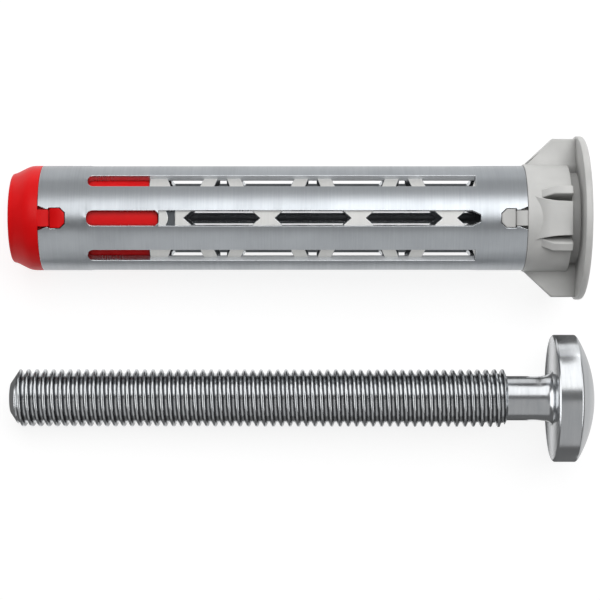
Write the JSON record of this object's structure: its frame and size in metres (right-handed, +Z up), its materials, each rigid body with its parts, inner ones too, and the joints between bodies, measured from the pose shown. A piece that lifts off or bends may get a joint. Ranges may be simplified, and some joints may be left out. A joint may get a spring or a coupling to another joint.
{
  "type": "hollow wall anchor",
  "caption": "Metal hollow wall anchor: slotted steel sleeve with a plastic threaded nose and a flanged plastic collar, lying beside its pan-head machine screw.",
  "frame": {"origin": "middle of the two items' common base, on the surface that they lie on", "axes": "+X from the sleeve's nose to its flange, +Y from the screw to the sleeve, +Z up"},
  "size_m": [0.0606, 0.0336, 0.0167],
  "materials": {
    "zinc_sheet": "zinc-plated rolled steel sheet, satin with a fine grain round the sleeve",
    "red_nylon": "moulded red nylon, half gloss",
    "grey_nylon": "moulded light grey nylon, satin",
    "zinc_screw": "bright zinc-plated steel with a rolled thread"
  },
  "bodies": {
    "root": {"sleeve": "zinc_sheet", "threaded_nut": "red_nylon", "flange_collar": "grey_nylon", "machine_screw": "zinc_screw"}
  },
  "joints": []
}
